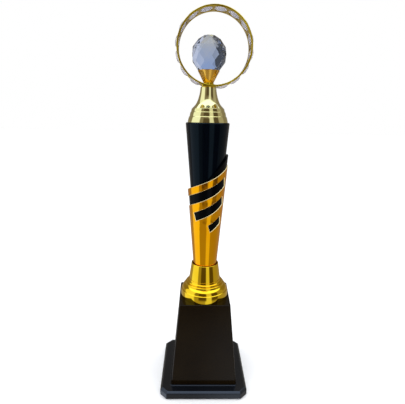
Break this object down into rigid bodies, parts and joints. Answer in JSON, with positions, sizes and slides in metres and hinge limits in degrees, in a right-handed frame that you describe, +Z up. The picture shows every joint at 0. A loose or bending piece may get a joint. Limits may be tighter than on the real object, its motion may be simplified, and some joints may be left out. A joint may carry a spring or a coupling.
{
  "type": "column trophy",
  "caption": "Tall award trophy: stepped black base, flared gold foot, tapering black column in a slotted gold sleeve, and a jewelled hoop round a faceted crystal ball.",
  "frame": {"origin": "centre of the underside of the base", "axes": "+Z up the column, front face towards -Y, +X to the right seen from the front"},
  "size_m": [0.11, 0.11, 0.4642],
  "materials": {
    "pad": "matte foam",
    "black_moulding": "gloss",
    "black_block": "gloss lacquer",
    "ballast": "as cast",
    "plain_steel": "zinc plated",
    "foot_gold": "mirror plated",
    "black_column": "gloss",
    "sleeve_gold": "gold anodised, bright",
    "black_plastic": "matte",
    "neck_gold": "mirror plated pale gold",
    "hoop_gold": "mirror plated",
    "stone": "clear, cut",
    "cup_gold": "satin plated amber gold",
    "crystal": "clear, cut"
  },
  "bodies": {
    "root": {"base_pad": "pad", "base_slab": "black_moulding", "plinth_block": "black_block", "ballast_weight": "ballast", "base_screws": "plain_steel", "rod_washer_lower": "plain_steel", "rod_nut_lower": "plain_steel", "tie_rod": "plain_steel", "rod_washer_upper": "plain_steel", "rod_nut_upper": "plain_steel", "foot_flange": "foot_gold", "foot_cup": "foot_gold", "column_core": "black_column", "column_liner": "black_column", "column_sleeve": "sleeve_gold", "column_plug_lower": "black_plastic", "column_plug_upper": "black_plastic", "bell_neck": "neck_gold", "hoop_frame": "hoop_gold", "hoop_stones": "stone", "hoop_collar": "hoop_gold", "ball_cup": "cup_gold", "crystal_ball": "crystal"}
  },
  "joints": []
}
